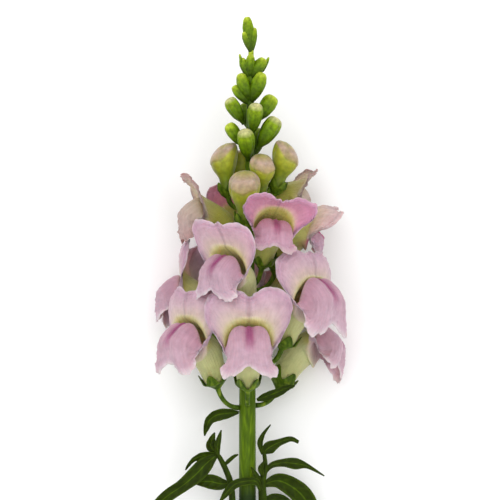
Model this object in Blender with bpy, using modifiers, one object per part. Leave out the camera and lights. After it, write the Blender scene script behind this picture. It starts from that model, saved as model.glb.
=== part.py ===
"""Cut snapdragon stem in flower, lying on a surface. Metres, +Z up, stem along +Y with its tip at +Y.

The plant is drawn in a plant frame, in millimetres: X to the right, Y up the stem from its cut end,
and Z towards the side that shows. The last step of every piece lays it down: the plant is tilted by
LAY_TILT and moved by LAY_SHIFT, so that it rests on its cut end and on the flowers of its underside.
A flower is drawn in a face frame of its own: X outwards, Y to its right and Z up the stem.
"""

import math

import bmesh
import bpy
import numpy as np
from mathutils import Matrix, Vector

MM = 0.001

# Driving dimensions, in millimetres and degrees
STEM_PATH = [(0.0, 0.0, 0.0, 4.1), (0.0, 62.0, 0.0, 3.9), (0.0, 112.0, 0.0, 3.75), (0.2, 150.0, 0.0, 3.1),
             (0.8, 190.0, 0.0, 2.4), (1.1, 222.0, 0.0, 1.9), (1.2, 238.0, 0.3, 1.6)]
CUT_SLOPE = 0.55
PETAL_THICKNESS = 0.65
LEAF_THICKNESS = 0.7
PEDICEL_RADIUS = 1.2
SEPAL_CLEARANCE = (0.85, 1.6)
SEAT_GAP = 0.3
LAY_TILT = 8.3
LAY_SHIFT = (1.51, -138.74, 3.95)

# Tube of an open flower: centre x and z, angle above the horizontal, half height above and below, half width
TUBE_SECTIONS = [
    (0.2, 0.4, 70.0, 1.2, 1.2, 1.2),
    (0.8, 3.0, 65.0, 4.3, 5.3, 4.3),
    (3.8, 10.0, 60.0, 6.2, 6.4, 5.9),
    (8.8, 16.8, 54.0, 7.6, 6.6, 7.8),
]
# Angle round the tube of each meridian, from its upper line to its lower line
MERIDIAN_ANGLES = [0, 17, 34, 52, 72, 92, 110, 128, 146, 163, 180]
# Meridians of the right half of an open flower, each from the mouth of the tube to the rim of a lip
LIP_MERIDIANS = [
    [(17.5, 0, 30.5), (19.3, 0, 34), (19.8, 0, 37.5), (19.6, 0, 40), (19.2, 0, 41.5)],
    [(17.3, 3, 30.2), (19.3, 3.4, 34.5), (19.6, 4.2, 39), (18.6, 4.2, 43), (17, 3.0, 45.3)],
    [(16.8, 6, 28.8), (18.7, 8, 34), (18.4, 9.8, 40), (16.5, 10.4, 45), (13.5, 10, 48)],
    [(16, 8.6, 26), (17.3, 12, 31), (16.4, 15.4, 36.5), (14, 17.8, 41), (10.8, 18.8, 44.5)],
    [(15, 10, 22.5), (15.8, 12.6, 26), (15.2, 16, 29.5), (13.6, 18.6, 32), (11.4, 20.2, 33.5)],
    [(14.2, 10.2, 19), (15, 11, 19.4), (15.8, 11.5, 19.8), (16.6, 11.9, 20.1), (17.4, 12.3, 20.4)],
    [(14.2, 9.3, 15.8), (18.2, 9.8, 20.2), (21.4, 9.6, 17.0), (20.8, 9.2, 15.2), (20.4, 9.8, 14.0)],
    [(14.6, 7.4, 13.6), (18.6, 8.6, 24.6), (25.4, 9.0, 20.2), (25.4, 9.6, 13.2), (23.4, 13.2, 9.4)],
    [(15, 5, 12.6), (18.8, 6.6, 27.6), (27.8, 6.8, 22.0), (28.4, 8.0, 13.0), (26.0, 11.2, 5.8)],
    [(15.2, 2.5, 12.2), (18.8, 3.4, 28.6), (28.8, 3.5, 22.4), (29.2, 4.2, 14.0), (27.4, 6.2, 7.0)],
    [(15.3, 0, 12), (18.2, 0, 27.2), (27.8, 0, 21.8), (28.6, 0, 15.2), (27.8, 0, 10.8)],
]
# Full-grown bud, in the same terms as the tube: its lips are still folded into a blunt head
BUD_SECTIONS = [
    (0.0, 0.4, 82.0, 1.2, 1.2, 1.2),
    (0.0, 3.0, 84.0, 3.2, 3.2, 3.1),
    (0.3, 8.6, 80.0, 3.6, 3.8, 3.8),
    (0.6, 13.2, 76.0, 5.2, 6.2, 6.0),
    (0.8, 17.6, 72.0, 6.4, 7.8, 7.2),
    (0.6, 21.0, 72.0, 5.9, 6.9, 6.4),
    (0.2, 23.4, 74.0, 4.2, 4.6, 4.4),
    (0.0, 24.6, 76.0, 1.6, 1.8, 1.8),
]

# Flowers: name, foot of the tube, way it faces round the stem (0 front, 90 right), pitch, roll, size,
# lean of the upper lip, sizes of the upper and lower lips, depth of the cleft, drop to the foot of the stalk
FLOWERS = [
    ("front_low", (0.0, 112.0, 12.6), 2, 0, 0, 1.0, 4, 0.9, 1.0, 0.8, 7.0),
    ("right_low", (14.0, 112.4, -5.0), 78, 0, -23, 0.98, 0, 0.6, 1.0, 0.5, 8.0),
    ("left_low", (-13.5, 113.0, 3.4), -50, 0, 0, 1.0, 0, 0.83, 1.0, 0.35, 9.5),
    ("right_mid", (15.4, 130.6, 2.8), 49, 0, -3, 1.0, -7, 0.8, 1.15, 0.15, 9.0),
    ("left_mid", (0.4, 146.0, 11.6), -42, 0, -5, 0.96, 40, 0.87, 0.92, 0.15, 8.0),
    ("front_high", (6.4, 167.0, 9.0), 12, 0, -8, 0.86, 74, 0.9, 0.75, 0.5, 8.0),
    ("right_high", (12.4, 164.4, -7.2), 95, 0, 8, 0.9, 90, 0.85, 0.6, 0.5, 8.0),
    ("left_high", (-6.0, 173.4, 2.4), -85, 0, 0, 0.84, 48, 0.9, 1.0, 0.5, 8.0),
    ("right_top", (7.0, 191.0, -7.1), 106, -20, 0, 0.68, 36, 0.65, 0.8, 0.5, 7.0),
    ("left_side_low", (-13.3, 134.4, -8.7), -105, 0, 12, 0.98, 0, 0.86, 1.0, 0.5, 8.0),
    ("back_left", (-4.0, 137.4, -11.6), -179, 14, 0, 0.76, 0, 0.56, 0.82, 0.5, 8.0),
    ("back_right", (11.0, 136.2, -10.4), 143, 14, 0, 0.74, 0, 0.42, 0.8, 0.5, 8.0),
    ("back_high", (-4.0, 168.0, -7.5), -165, 14, 0, 0.78, 10, 0.8, 0.9, 0.5, 8.0),
]
# Flowers of the far side, with every other meridian left out
COARSE = ("right_top", "back_left", "back_right", "back_high")
# Full-grown buds: name, foot of the bud, facing, pitch, roll, size, drop to the foot of the stalk
LARGE_BUDS = [
    ("left", (-9.0, 198.9, 1.0), -88, -1, 0, 0.97, 6.0),
    ("right", (12.4, 200.2, 0.3), 82, -12, 0, 0.96, 5.0),
    ("front_right", (6.0, 197.0, 6.2), 22, -4, 0, 0.84, 6.0),
    ("front_left", (-1.2, 184.6, 13.4), -6, -2, 0, 1.03, 8.0),
    ("back", (-2.5, 197.0, -8.0), 192, -6, 0, 0.92, 7.0),
]
# Closed green buds: name, height of the foot up the stem, facing, rise above the horizontal, length, width
SMALL_BUDS = [
    ("right_lower", 220.0, 74, 56, 17.0, 8.4),
    ("left_lower", 220.8, -66, 53, 13.2, 6.2),
    ("front_lower", 215.0, -12, 60, 15.5, 8.2),
    ("back_lower", 216.0, 160, 56, 16.0, 7.6),
    ("right_upper", 232.5, 80, 55, 14.0, 7.6),
    ("left_upper", 231.5, -72, 57, 13.6, 6.8),
    ("front_upper", 226.5, 16, 62, 15.5, 7.4),
    ("back_upper", 229.0, -168, 58, 14.0, 7.0),
]
# Buds of the tip, fused into one body: foot, tip, width
TIP_BUDS = [
    ((0.8, 242.0, 0.6), (-3.4, 254.0, 4.2), 6.0),
    ((0.6, 240.5, 0.4), (-6.4, 248.6, 1.2), 5.0),
    ((1.6, 241.5, 0.6), (6.8, 254.4, 4.0), 6.8),
    ((1.4, 243.0, -0.4), (2.2, 253.6, -5.2), 6.0),
    ((1.3, 252.6, 0.8), (1.4, 262.8, 2.6), 4.4),
    ((1.6, 252.0, 0.3), (7.6, 261.0, 1.6), 5.8),
    ((1.0, 252.0, 0.0), (-2.8, 261.2, 0.2), 4.2),
    ((1.2, 253.0, -0.6), (1.0, 262.0, -3.6), 4.6),
    ((-1.6, 253.8, 1.0), (-3.6, 263.0, 1.2), 1.6),
    ((7.0, 255.0, 1.0), (9.6, 261.6, 0.8), 1.6),
    ((1.5, 263.5, 0.6), (-0.3, 279.8, 1.0), 5.2),
    ((1.6, 263.5, 0.4), (3.0, 275.0, 0.6), 4.0),
    ((1.4, 264.0, 0.8), (-1.6, 273.0, 2.0), 3.6),
]
TIP_AXIS = [(1.2, 238.3, 0.3, 1.6), (1.4, 250.0, 0.3, 1.5), (1.6, 266.0, 0.4, 1.2)]

# Leaves: points of the midrib with the half width there, then the turn of the blade about its midrib
LEAVES = {
    "leaf_left": ([(-4.0, 101.4, 1.6, 0.7), (-8.4, 101.2, 3.0, 2.2), (-13.6, 100.4, 3.8, 2.8),
                   (-17.2, 98.0, 3.4, 2.2), (-18.8, 93.8, 2.4, 1.2), (-19.4, 90.8, 1.6, 0.3)], 20),
    "leaf_right": ([(4.2, 107.0, 1.0, 0.7), (8.2, 108.6, 1.4, 2.2), (13.4, 110.6, 1.2, 2.2),
                    (17.6, 112.4, 0.6, 1.5), (21.2, 113.4, 0.0, 0.5)], -25),
}
SHOOT_LEFT = {
    "stalk": [
        (-4.5, 47.0, 0.4, 0.9), (-5.6, 48.6, 0.6, 1.3), (-6.6, 56.0, 1.6, 1.5), (-7.0, 64.0, 2.8, 1.5),
        (-8.0, 71.0, 3.4, 1.4), (-11.4, 79.0, 4.0, 1.2), (-14.4, 84.0, 4.2, 0.9)],
    "leaves": [
        ([(-13.0, 81.5, 4.4, 0.7), (-13.4, 86.0, 5.2, 1.5), (-12.6, 90.0, 5.4, 1.2), (-11.8, 93.6, 5.0, 0.3)], 30),
        ([(-13.6, 82.6, 3.4, 0.8), (-16.6, 86.0, 3.0, 2.3), (-16.0, 89.6, 3.2, 1.5), (-14.8, 92.4, 3.4, 0.3)], -15),
        ([(-14.0, 83.0, 3.8, 0.8), (-19.4, 82.2, 3.4, 2.2), (-24.0, 80.6, 3.2, 1.4), (-26.6, 77.8, 2.6, 0.9),
          (-28.0, 75.4, 2.0, 0.3)], 35),
        ([(-13.8, 82.4, 3.4, 0.9), (-18.6, 78.4, 3.0, 3.4), (-23.2, 73.6, 3.4, 3.8), (-29.4, 68.4, 3.8, 3.0),
          (-36.6, 63.4, 2.6, 2.8), (-43.0, 57.0, 0.6, 2.0), (-47.0, 51.6, -1.4, 0.4)], 0),
        ([(-7.8, 69.6, 2.8, 0.8), (-12.0, 69.2, 1.8, 2.8), (-17.0, 70.2, 1.0, 3.3), (-21.4, 70.0, 0.6, 2.0),
          (-24.6, 69.4, 0.2, 0.3)], 0),
        ([(-10.6, 77.6, 4.0, 0.6), (-8.4, 80.0, 5.0, 1.1), (-6.2, 81.8, 5.4, 0.9), (-4.2, 82.6, 5.2, 0.3)], -30),
    ],
}
SHOOT_RIGHT = {
    "stalk": [
        (4.6, 48.0, 0.4, 0.9), (5.9, 49.6, 0.8, 1.6), (6.6, 56.0, 1.8, 1.9), (6.8, 63.0, 2.8, 1.9),
        (6.6, 70.0, 3.6, 1.7), (8.0, 77.0, 4.0, 1.1), (7.4, 83.6, 4.4, 0.9)],
    "leaves": [
        ([(6.8, 82.6, 4.2, 0.7), (5.8, 87.6, 4.6, 1.4), (7.4, 92.0, 5.0, 0.9), (10.4, 96.0, 5.2, 0.3)], 30),
        ([(6.8, 83.0, 4.0, 0.8), (9.6, 85.6, 3.4, 3.0), (14.2, 88.0, 3.8, 1.7), (19.4, 89.6, 4.8, 1.2),
          (23.0, 88.2, 5.6, 0.8)], -10),
        ([(7.2, 73.6, 3.6, 0.7), (10.8, 77.6, 4.2, 1.3), (16.0, 78.8, 4.6, 1.8), (21.6, 78.4, 4.6, 2.6),
          (27.0, 77.2, 4.0, 1.1), (34.6, 72.8, 2.6, 0.25)], 5),
        ([(6.6, 68.6, 3.0, 1.0), (13.6, 70.6, 2.2, 3.4), (20.4, 67.6, 1.6, 4.4), (25.6, 62.6, 0.6, 4.6),
          (28.6, 55.6, -1.6, 3.8), (29.4, 46.6, -4.2, 0.4)], 0),
        ([(5.6, 59.0, 1.0, 1.0), (11.6, 61.6, -1.0, 3.0), (17.4, 58.6, -3.0, 3.4), (20.4, 52.0, -5.0, 2.4),
          (21.4, 46.0, -6.4, 0.4)], 10),
        ([(6.0, 66.4, 5.0, 0.8), (3.4, 70.6, 6.0, 1.6), (-4.6, 69.8, 6.6, 1.9), (-9.0, 66.0, 6.4, 1.7),
          (-12.6, 61.2, 5.6, 0.4)], 0),
        ([(6.2, 70.0, 5.0, 0.6), (4.0, 73.0, 6.0, 1.3), (1.6, 77.0, 6.2, 0.3)], 0),
        ([(6.9, 72.8, 5.2, 0.6), (6.0, 76.2, 6.6, 1.3), (7.4, 79.8, 7.4, 0.3)], 20),
    ],
}


def clear_scene():
    for obj in list(bpy.data.objects):
        bpy.data.objects.remove(obj)


def new_collection(name):
    collection = bpy.data.collections.new(name)
    bpy.context.scene.collection.children.link(collection)
    return collection


def material(name, colour, roughness):
    made = bpy.data.materials.new(name)
    made.use_nodes = True
    shader = made.node_tree.nodes["Principled BSDF"]
    shader.inputs["Base Color"].default_value = (*colour, 1.0)
    shader.inputs["Roughness"].default_value = roughness
    return made


def lay_down(points):
    """Turns points of the plant frame into the laid pose, in millimetres."""
    tilt = math.radians(LAY_TILT)
    laid = np.array(points, float)
    rise = laid[..., 1] * math.sin(tilt) + laid[..., 2] * math.cos(tilt)
    run = laid[..., 1] * math.cos(tilt) - laid[..., 2] * math.sin(tilt)
    laid[..., 1] = run
    laid[..., 2] = rise
    return laid + np.array(LAY_SHIFT)


def place(points, matrix):
    matrix = np.array(matrix)
    return points @ matrix[:3, :3].T + matrix[:3, 3]


def face_frame(seat, facing, pitch, roll):
    """Matrix from a flower's face frame to the plant frame."""
    turn = math.radians(facing)
    outward = Vector((math.sin(turn), 0.0, math.cos(turn)))
    up = Vector((0.0, 1.0, 0.0))
    lateral = up.cross(outward)
    basis = Matrix((outward, lateral, up)).transposed().to_4x4()
    tilt = Matrix.Rotation(math.radians(-pitch), 4, "Y") @ Matrix.Rotation(math.radians(roll), 4, "X")
    return Matrix.Translation(seat) @ basis @ tilt


def ring_mesh(name, net, close_last):
    """Mesh of rings of points, capped at its first ring and, if close_last, at its last."""
    rings, columns = net.shape[:2]
    faces = [tuple(reversed(range(columns)))]
    for i in range(rings - 1):
        for j in range(columns):
            k = (j + 1) % columns
            faces.append((i * columns + j, i * columns + k, (i + 1) * columns + k, (i + 1) * columns + j))
    if close_last:
        faces.append(tuple(range((rings - 1) * columns, rings * columns)))
    mesh = bpy.data.meshes.new(name)
    mesh.from_pydata((lay_down(net).reshape(-1, 3) * MM).tolist(), [], faces)
    face_outwards(mesh)
    return mesh


def face_outwards(mesh):
    work = bmesh.new()
    work.from_mesh(mesh)
    bmesh.ops.recalc_face_normals(work, faces=work.faces)
    work.to_mesh(mesh)
    work.free()


def add_object(name, mesh, collection, look=None):
    obj = bpy.data.objects.new(name, mesh)
    collection.objects.link(obj)
    if look:
        mesh.materials.append(look)
    return obj


def add_triangulate(obj):
    obj.modifiers.new("Triangulate", "TRIANGULATE")


def add_solidify(obj, thickness):
    shell = obj.modifiers.new("Solidify", "SOLIDIFY")
    shell.thickness = thickness * MM
    shell.offset = 0.0


def stations(sections, places, clearance, columns):
    """Rings round a tube at the given places along its sections, clear of it by the given distance."""
    table = np.array(sections, float)
    turns = np.arange(columns) / columns * 2 * math.pi
    rows = np.arange(len(table))
    place_at = np.broadcast_to(np.asarray(places, float), (columns,))
    x, z, angle, up, down, side = [np.interp(place_at, rows, table[:, k]) for k in range(6)]
    return section_points(x, z, angle, up + clearance, down + clearance, side + clearance, turns)


def section_points(x, z, angle, up, down, side, turns):
    """Points of an ellipse square to an axis that lies in the XZ plane at angle above the horizontal."""
    tilt = np.radians(angle)
    height = np.where(np.cos(turns) > 0, up, down) * np.cos(turns)
    return np.stack([x - height * np.sin(tilt), side * np.sin(turns), z + height * np.cos(tilt)], axis=-1)


def swing(net, columns, first_row, degrees):
    """Turns the rows of a lip from first_row on about the row before, by a share that grows towards the rim."""
    hinge = net[first_row - 1, columns].copy()
    count = len(net) - first_row
    for step in range(count):
        turn = math.radians(degrees) * min(1.0, (step + 1.5) / count)
        arm = net[first_row + step, columns] - hinge
        net[first_row + step, columns, 0] = hinge[:, 0] + arm[:, 0] * math.cos(turn) - arm[:, 2] * math.sin(turn)
        net[first_row + step, columns, 2] = hinge[:, 2] + arm[:, 0] * math.sin(turn) + arm[:, 2] * math.cos(turn)


def corolla_net(size, lean, upper_size, lower_size, cleft, phase):
    """Rings of a corolla from the foot of its tube to the rim of its lips.

    A young flower's upper lip leans out over its lower lip.
    """
    turns = np.radians(MERIDIAN_ANGLES)
    tube = [section_points(*section, turns) for section in TUBE_SECTIONS]
    lips = np.array(LIP_MERIDIANS, float).transpose(1, 0, 2)
    for column, share in ((0, 1.0 - cleft), (1, 0.5 - 0.5 * cleft)):
        lips[1:, column, ::2] += (lips[1:, 2, ::2] - lips[1:, column, ::2]) * share
    upper = slice(0, 5)
    lower = slice(6, 11)
    lips[1:, upper] = lips[:1, upper] + (lips[1:, upper] - lips[:1, upper]) * upper_size
    lips[1:, lower] = lips[:1, lower] + (lips[1:, lower] - lips[:1, lower]) * lower_size
    swing(lips, upper, 1, -lean)
    half = np.concatenate([np.array(tube), lips])
    left = half[:, -2:0:-1] * np.array([1.0, -1.0, 1.0])
    net = np.concatenate([half, left], axis=1)
    column = np.arange(net.shape[1])
    wave = np.sin(1.9 * column + phase) + 0.6 * np.sin(3.1 * column + 2.3 * phase)
    net[-1, :, 0] += 0.5 * wave
    net[-2, :, 0] += 0.2 * wave
    return net * size


def corolla(name, flower, phase, coarse, collection, look):
    seat, facing, pitch, roll, size, lean, upper_size, lower_size, cleft = flower
    net = corolla_net(size, lean, upper_size, lower_size, cleft, phase)
    if coarse:
        net = net[:, ::2]
    net = place(net, face_frame(seat, facing, pitch, roll))
    obj = add_object(name, ring_mesh(name, net, False), collection, look)
    press_on_floor(obj)
    add_triangulate(obj)
    add_solidify(obj, PETAL_THICKNESS)
    return obj


def press_on_floor(obj):
    """Lifts the points of a petal that the surface would push up."""
    lowest = PETAL_THICKNESS / 2 * MM
    for vertex in obj.data.vertices:
        vertex.co.z = max(vertex.co.z, lowest)


def stem_at(height):
    """Centre and radius of the stem at a height up its axis."""
    path = np.array(STEM_PATH)
    x, z, radius = [np.interp(height, path[:, 1], path[:, k]) for k in (0, 2, 3)]
    return Vector((x, height, z)), radius


def bezier(points, t):
    a, b, c, d = points
    u = 1.0 - t
    spot = a * u ** 3 + b * 3 * u * u * t + c * 3 * u * t * t + d * t ** 3
    way = (b - a) * 3 * u * u + (c - b) * 6 * u * t + (d - c) * 3 * t * t
    return spot, way.normalized()


def pedicel_rings(seat, facing, pitch, roll, foot_drop, base_ring, sections):
    """Rings of a flower stalk from the stem to the calyx, carried back along its path from the calyx."""
    frame = face_frame(seat, facing, pitch, roll)
    tilt = math.radians(sections[0][2])
    along = (frame.to_3x3() @ Vector((math.cos(tilt), 0.0, math.sin(tilt)))).normalized()
    centre, stem_radius = stem_at(seat[1] - foot_drop)
    radial = Vector((seat[0] - centre.x, 0.0, seat[2] - centre.z)).normalized()
    end = Vector(base_ring.mean(axis=0)) - along * 0.8
    foot = centre + radial * (stem_radius + SEAT_GAP)
    reach = (end - foot).length
    path = [foot, foot + radial * reach * 0.4, end - along * reach * 0.4, end]
    arms = [Vector(point) for point in base_ring - base_ring.mean(axis=0)]
    arms = [(arm - along * arm.dot(along)).normalized() for arm in arms]
    direction = along
    rings = []
    for t in (1.0, 0.45, 0.0):
        spot, way = bezier(path, t)
        turn = direction.rotation_difference(way)
        arms = [turn @ arm for arm in arms]
        direction = way
        rings.append([spot + arm * PEDICEL_RADIUS for arm in arms])
    return np.array(rings[::-1])


def calyx(name, bloom, foot_drop, sections, collection, look):
    """Stalk and calyx as one body: a cup with five pointed sepals, clear of the tube that stands in it."""
    seat, facing, pitch, roll, size = bloom
    frame = face_frame(seat, facing, pitch, roll)
    inner, outer = SEPAL_CLEARANCE
    columns = 10
    tips = np.where(np.arange(columns) % 2 == 0, 1.72, 0.95)
    cup = [
        stations(sections, 0.12, outer / size, columns),
        stations(sections, 0.85, outer / size, columns),
        stations(sections, tips, outer / size, columns),
        stations(sections, tips, inner / size, columns),
        stations(sections, 0.85, inner / size, columns),
    ]
    cup = place(np.array(cup) * size, frame)
    below = cup[0] - np.array(frame.to_3x3() @ Vector((0.3, 0.0, 0.9)))
    stalk = pedicel_rings(seat, facing, pitch, roll, foot_drop, below, sections)
    floor = place(stations(sections, 0.0, inner / size * 0.2, columns) * size, frame)[None]
    floor = floor - np.array(frame.to_3x3() @ Vector((0.3, 0.0, 0.8)))
    net = np.concatenate([stalk, cup, floor])
    obj = add_object(name, ring_mesh(name, net, True), collection, look)
    add_triangulate(obj)
    return obj


def large_bud(name, bloom, collection, look):
    """Full-grown bud as one body, creased where its folded lips meet."""
    seat, facing, pitch, roll, size = bloom
    columns = 12
    turns = np.arange(columns) / columns * 2 * math.pi
    rings = np.array([section_points(*section, turns) for section in BUD_SECTIONS])
    centres = rings.mean(axis=1, keepdims=True)
    crease = np.exp(-((np.abs(np.cos(turns) + 0.35)) / 0.28) ** 2)
    depth = np.array([0.0, 0.0, 0.0, 0.05, 0.08, 0.08, 0.04, 0.0])
    rings = centres + (rings - centres) * (1.0 - depth[:, None, None] * crease[None, :, None])
    net = place(rings * size, face_frame(seat, facing, pitch, roll))
    obj = add_object(name, ring_mesh(name, net, True), collection, look)
    add_triangulate(obj)
    return obj


def club_rings(foot, tip, width, columns, profile):
    """Rings of a club along a straight line: the profile gives the share of the length and of the width."""
    foot = Vector(foot)
    tip = Vector(tip)
    way = (tip - foot).normalized()
    side = way.cross(Vector((0.31, 0.17, 0.93))).normalized()
    other = way.cross(side)
    rings = []
    for share, wide in profile:
        centre = foot.lerp(tip, share)
        ring = []
        for k in range(columns):
            turn = k / columns * 2 * math.pi
            ring.append(centre + (side * math.cos(turn) + other * math.sin(turn)) * width / 2 * wide)
        rings.append(ring)
    return np.array(rings)


BUD_PROFILE = [(0.0, 0.3), (0.12, 0.36), (0.34, 0.78), (0.6, 0.98), (0.82, 1.0), (0.95, 0.72), (1.0, 0.3)]
TIP_PROFILE = [(0.0, 0.34), (0.3, 0.8), (0.62, 1.0), (0.88, 0.7), (1.0, 0.24)]


def small_bud(name, bud, collection, look):
    height, facing, rise, length, width = bud
    centre, radius = stem_at(height)
    turn = math.radians(facing)
    lift = math.radians(rise)
    radial = Vector((math.sin(turn), 0.0, math.cos(turn)))
    way = radial * math.cos(lift) + Vector((0.0, 1.0, 0.0)) * math.sin(lift)
    foot_radius = width / 2 * BUD_PROFILE[0][1]
    foot = centre + radial * (radius + SEAT_GAP + foot_radius * math.sin(lift))
    net = club_rings(foot, foot + way * length, width, 8, BUD_PROFILE)
    obj = add_object(name, ring_mesh(name, net, True), collection, look)
    add_triangulate(obj)
    return obj


def rod_rings(path, columns):
    """Rings of a round stalk along a bent path of points with radii."""
    points = [Vector(point[:3]) for point in path]
    rings = []
    side = None
    for i, point in enumerate(points):
        way = (points[min(i + 1, len(points) - 1)] - points[max(i - 1, 0)]).normalized()
        if side is None:
            side = way.cross(Vector((0.0, 0.0, 1.0))).normalized()
        side = (side - way * side.dot(way)).normalized()
        other = way.cross(side)
        ring = []
        for k in range(columns):
            turn = k / columns * 2 * math.pi
            ring.append(point + (side * math.cos(turn) + other * math.sin(turn)) * path[i][3])
        rings.append(ring)
    return np.array(rings)


def leaf_object(name, midrib, turn, collection, look=None):
    """Blade along a midrib: folded up a little on both sides, with a waved edge."""
    path = [Vector(point[:3]) for point in midrib]
    lean = math.radians(turn)
    rows = []
    for i, point in enumerate(path):
        way = (path[min(i + 1, len(path) - 1)] - path[max(i - 1, 0)]).normalized()
        side = way.cross(Vector((0.0, 0.0, 1.0))).normalized()
        normal = side.cross(way)
        across = side * math.cos(lean) + normal * math.sin(lean)
        fold = across.cross(way)
        half = midrib[i][3]
        row = []
        for share in (-1.0, -0.5, 0.0, 0.5, 1.0):
            wave = 0.1 * math.sin(2.4 * i + 2.0 * share) * abs(share)
            row.append(point + across * half * share + fold * half * (0.3 * abs(share) + wave))
        rows.append(row)
    net = np.array(rows)
    count, columns = net.shape[:2]
    faces = []
    for i in range(count - 1):
        for j in range(columns - 1):
            a = i * columns + j
            faces.append((a, a + 1, a + columns + 1, a + columns))
    mesh = bpy.data.meshes.new(name)
    mesh.from_pydata((lay_down(net).reshape(-1, 3) * MM).tolist(), [], faces)
    mesh.update()
    obj = add_object(name, mesh, collection, look)
    add_triangulate(obj)
    add_solidify(obj, LEAF_THICKNESS)
    return obj


def fuse(name, first, others, collection, look):
    """Joins closed bodies into one by a single union, and removes the pieces it was made from."""
    joining = first.modifiers.new("Union", "BOOLEAN")
    joining.operation = "UNION"
    joining.operand_type = "COLLECTION"
    joining.collection = others
    joining.solver = "EXACT"
    bpy.context.view_layer.update()
    graph = bpy.context.evaluated_depsgraph_get()
    mesh = bpy.data.meshes.new_from_object(first.evaluated_get(graph))
    mesh.name = name
    mesh.materials.clear()
    obj = add_object(name, mesh, collection, look)
    for piece in list(others.objects) + [first]:
        bpy.data.objects.remove(piece)
    bpy.data.collections.remove(others)
    add_triangulate(obj)
    return obj


def side_shoot(name, shoot, collection, cutters, look):
    rod = ring_mesh(name, rod_rings(shoot["stalk"], 8), True)
    first = add_object(name + "_stalk", rod, cutters)
    others = bpy.data.collections.new(name + "_leaves")
    cutters.children.link(others)
    for number, (midrib, turn) in enumerate(shoot["leaves"]):
        leaf_object(f"{name}_leaf_{number}", midrib, turn, others)
    return fuse(name, first, others, collection, look)


def tip_cluster(name, collection, cutters, look):
    first = add_object(name + "_axis", ring_mesh(name, rod_rings(TIP_AXIS, 8), True), cutters)
    others = bpy.data.collections.new(name + "_buds")
    cutters.children.link(others)
    for number, (foot, tip, width) in enumerate(TIP_BUDS):
        net = club_rings(foot, tip, width, 6, TIP_PROFILE)
        add_object(f"{name}_bud_{number}", ring_mesh(name, net, True), others)
    return fuse(name, first, others, collection, look)


def stem(name, collection, look):
    rings = rod_rings(STEM_PATH, 14)
    rings[0, :, 1] += CUT_SLOPE * (rings[0, :, 2] + STEM_PATH[0][3])
    obj = add_object(name, ring_mesh(name, rings, True), collection, look)
    add_triangulate(obj)
    return obj


def main():
    clear_scene()
    plant = new_collection("snapdragon_stem")
    cutters = new_collection("cutters")
    petal = material("petal_pink", (0.72, 0.42, 0.62), 0.55)
    young_petal = material("petal_cream", (0.74, 0.66, 0.55), 0.55)
    bud_petal = material("bud_tan", (0.62, 0.58, 0.3), 0.55)
    calyx_green = material("calyx_green", (0.2, 0.36, 0.05), 0.5)
    bud_green = material("bud_green", (0.27, 0.42, 0.04), 0.5)
    stem_green = material("stem_green", (0.12, 0.24, 0.03), 0.5)
    leaf_green = material("leaf_green", (0.06, 0.14, 0.02), 0.5)

    stem("stem", plant, stem_green)
    for phase, (name, *flower, drop) in enumerate(FLOWERS):
        look = young_petal if flower[5] > 50 else petal
        corolla(f"bloom_{name}_corolla", flower, phase, name in COARSE, plant, look)
        calyx(f"bloom_{name}_calyx", flower[:5], drop, TUBE_SECTIONS, plant, calyx_green)
    for name, seat, facing, pitch, roll, size, drop in LARGE_BUDS:
        bloom = (seat, facing, pitch, roll, size)
        large_bud(f"bud_{name}_petals", bloom, plant, bud_petal)
        calyx(f"bud_{name}_calyx", bloom, drop, BUD_SECTIONS, plant, calyx_green)
    for name, *bud in SMALL_BUDS:
        small_bud(f"bud_{name}", bud, plant, bud_green)
    for name, (midrib, turn) in LEAVES.items():
        leaf_object(name, midrib, turn, plant, leaf_green)
    side_shoot("side_shoot_left", SHOOT_LEFT, plant, cutters, leaf_green)
    side_shoot("side_shoot_right", SHOOT_RIGHT, plant, cutters, leaf_green)
    tip_cluster("bud_cluster_tip", plant, cutters, bud_green)


main()
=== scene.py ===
import math

import bmesh
import bpy
import numpy as np
from mathutils import Matrix, Vector


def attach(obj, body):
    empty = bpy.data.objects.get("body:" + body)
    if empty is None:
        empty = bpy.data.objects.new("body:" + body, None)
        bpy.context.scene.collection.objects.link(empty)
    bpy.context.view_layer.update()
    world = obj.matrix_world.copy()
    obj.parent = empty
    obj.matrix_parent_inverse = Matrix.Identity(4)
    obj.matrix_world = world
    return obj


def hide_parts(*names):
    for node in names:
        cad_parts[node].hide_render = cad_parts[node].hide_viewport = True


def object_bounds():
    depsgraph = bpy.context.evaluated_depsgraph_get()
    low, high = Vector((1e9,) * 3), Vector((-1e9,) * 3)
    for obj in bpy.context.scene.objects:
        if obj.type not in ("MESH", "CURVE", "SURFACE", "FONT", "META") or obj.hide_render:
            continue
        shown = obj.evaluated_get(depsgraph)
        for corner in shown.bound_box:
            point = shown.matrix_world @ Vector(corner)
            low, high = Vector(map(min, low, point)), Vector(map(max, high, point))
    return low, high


# A cut snapdragon in flower, lying on a pale surface and seen from above.
# Shapes are worked out in millimetres in the plant's own frame: x to the right, y up the stem from the cut,
# z towards the camera. layDown then puts every point where the solid model has it.

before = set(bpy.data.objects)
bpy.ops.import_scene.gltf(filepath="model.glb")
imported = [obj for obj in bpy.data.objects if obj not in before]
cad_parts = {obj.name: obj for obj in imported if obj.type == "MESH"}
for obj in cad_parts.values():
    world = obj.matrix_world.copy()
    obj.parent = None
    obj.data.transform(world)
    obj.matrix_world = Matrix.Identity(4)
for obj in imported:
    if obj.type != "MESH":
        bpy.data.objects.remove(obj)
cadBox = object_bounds()  # two corners; the pieces are held inside it
scene = bpy.context.scene
print("frame loaded")

mm = 0.001
lying = {"tilt": 8.3, "shift": (1.51, -138.74, 3.95)}  # degrees that the spike is raised by, and its place


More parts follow.
